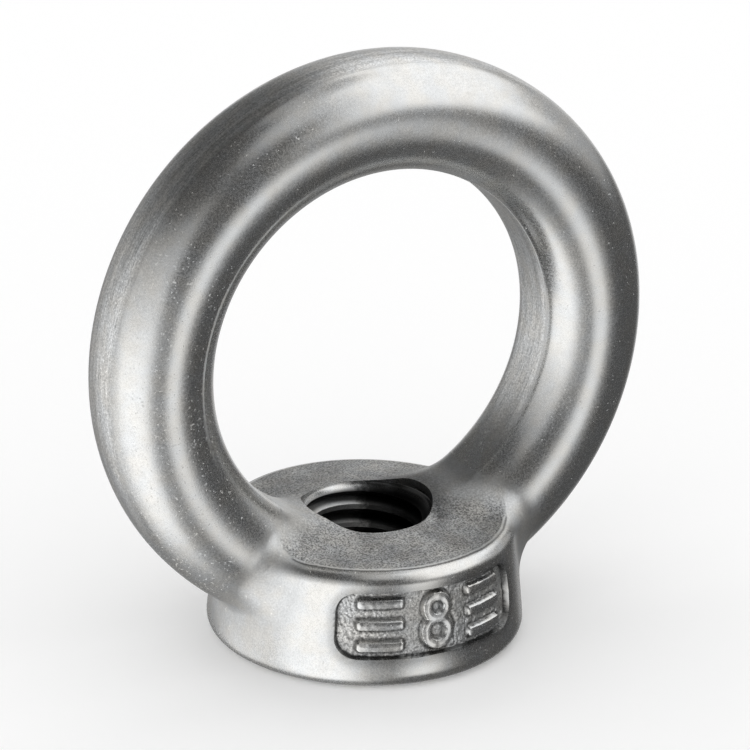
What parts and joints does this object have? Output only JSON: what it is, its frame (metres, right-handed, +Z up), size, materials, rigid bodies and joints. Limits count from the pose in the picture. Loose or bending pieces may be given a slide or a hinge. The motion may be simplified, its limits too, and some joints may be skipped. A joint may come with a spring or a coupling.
{
  "type": "lifting eye nut",
  "caption": "Cast stainless lifting eye nut: a round eye on a short round collar with a tapped M8 through hole and a recessed size panel.",
  "frame": {"origin": "centre of the collar's flat seating face, on the axis of the tapped hole", "axes": "+Z up through the tapped hole and the middle of the eye; the eye stands in the XZ plane, so a hook passes through it along Y; the size panel faces -Y"},
  "size_m": [0.0368, 0.0198, 0.0374],
  "materials": {
    "stainless": "cast stainless steel, tumbled to a satin with a fine grain; ground bands round the eye; matte top face and rough panel floor"
  },
  "bodies": {
    "root": {"eye_nut": "stainless"}
  },
  "joints": []
}
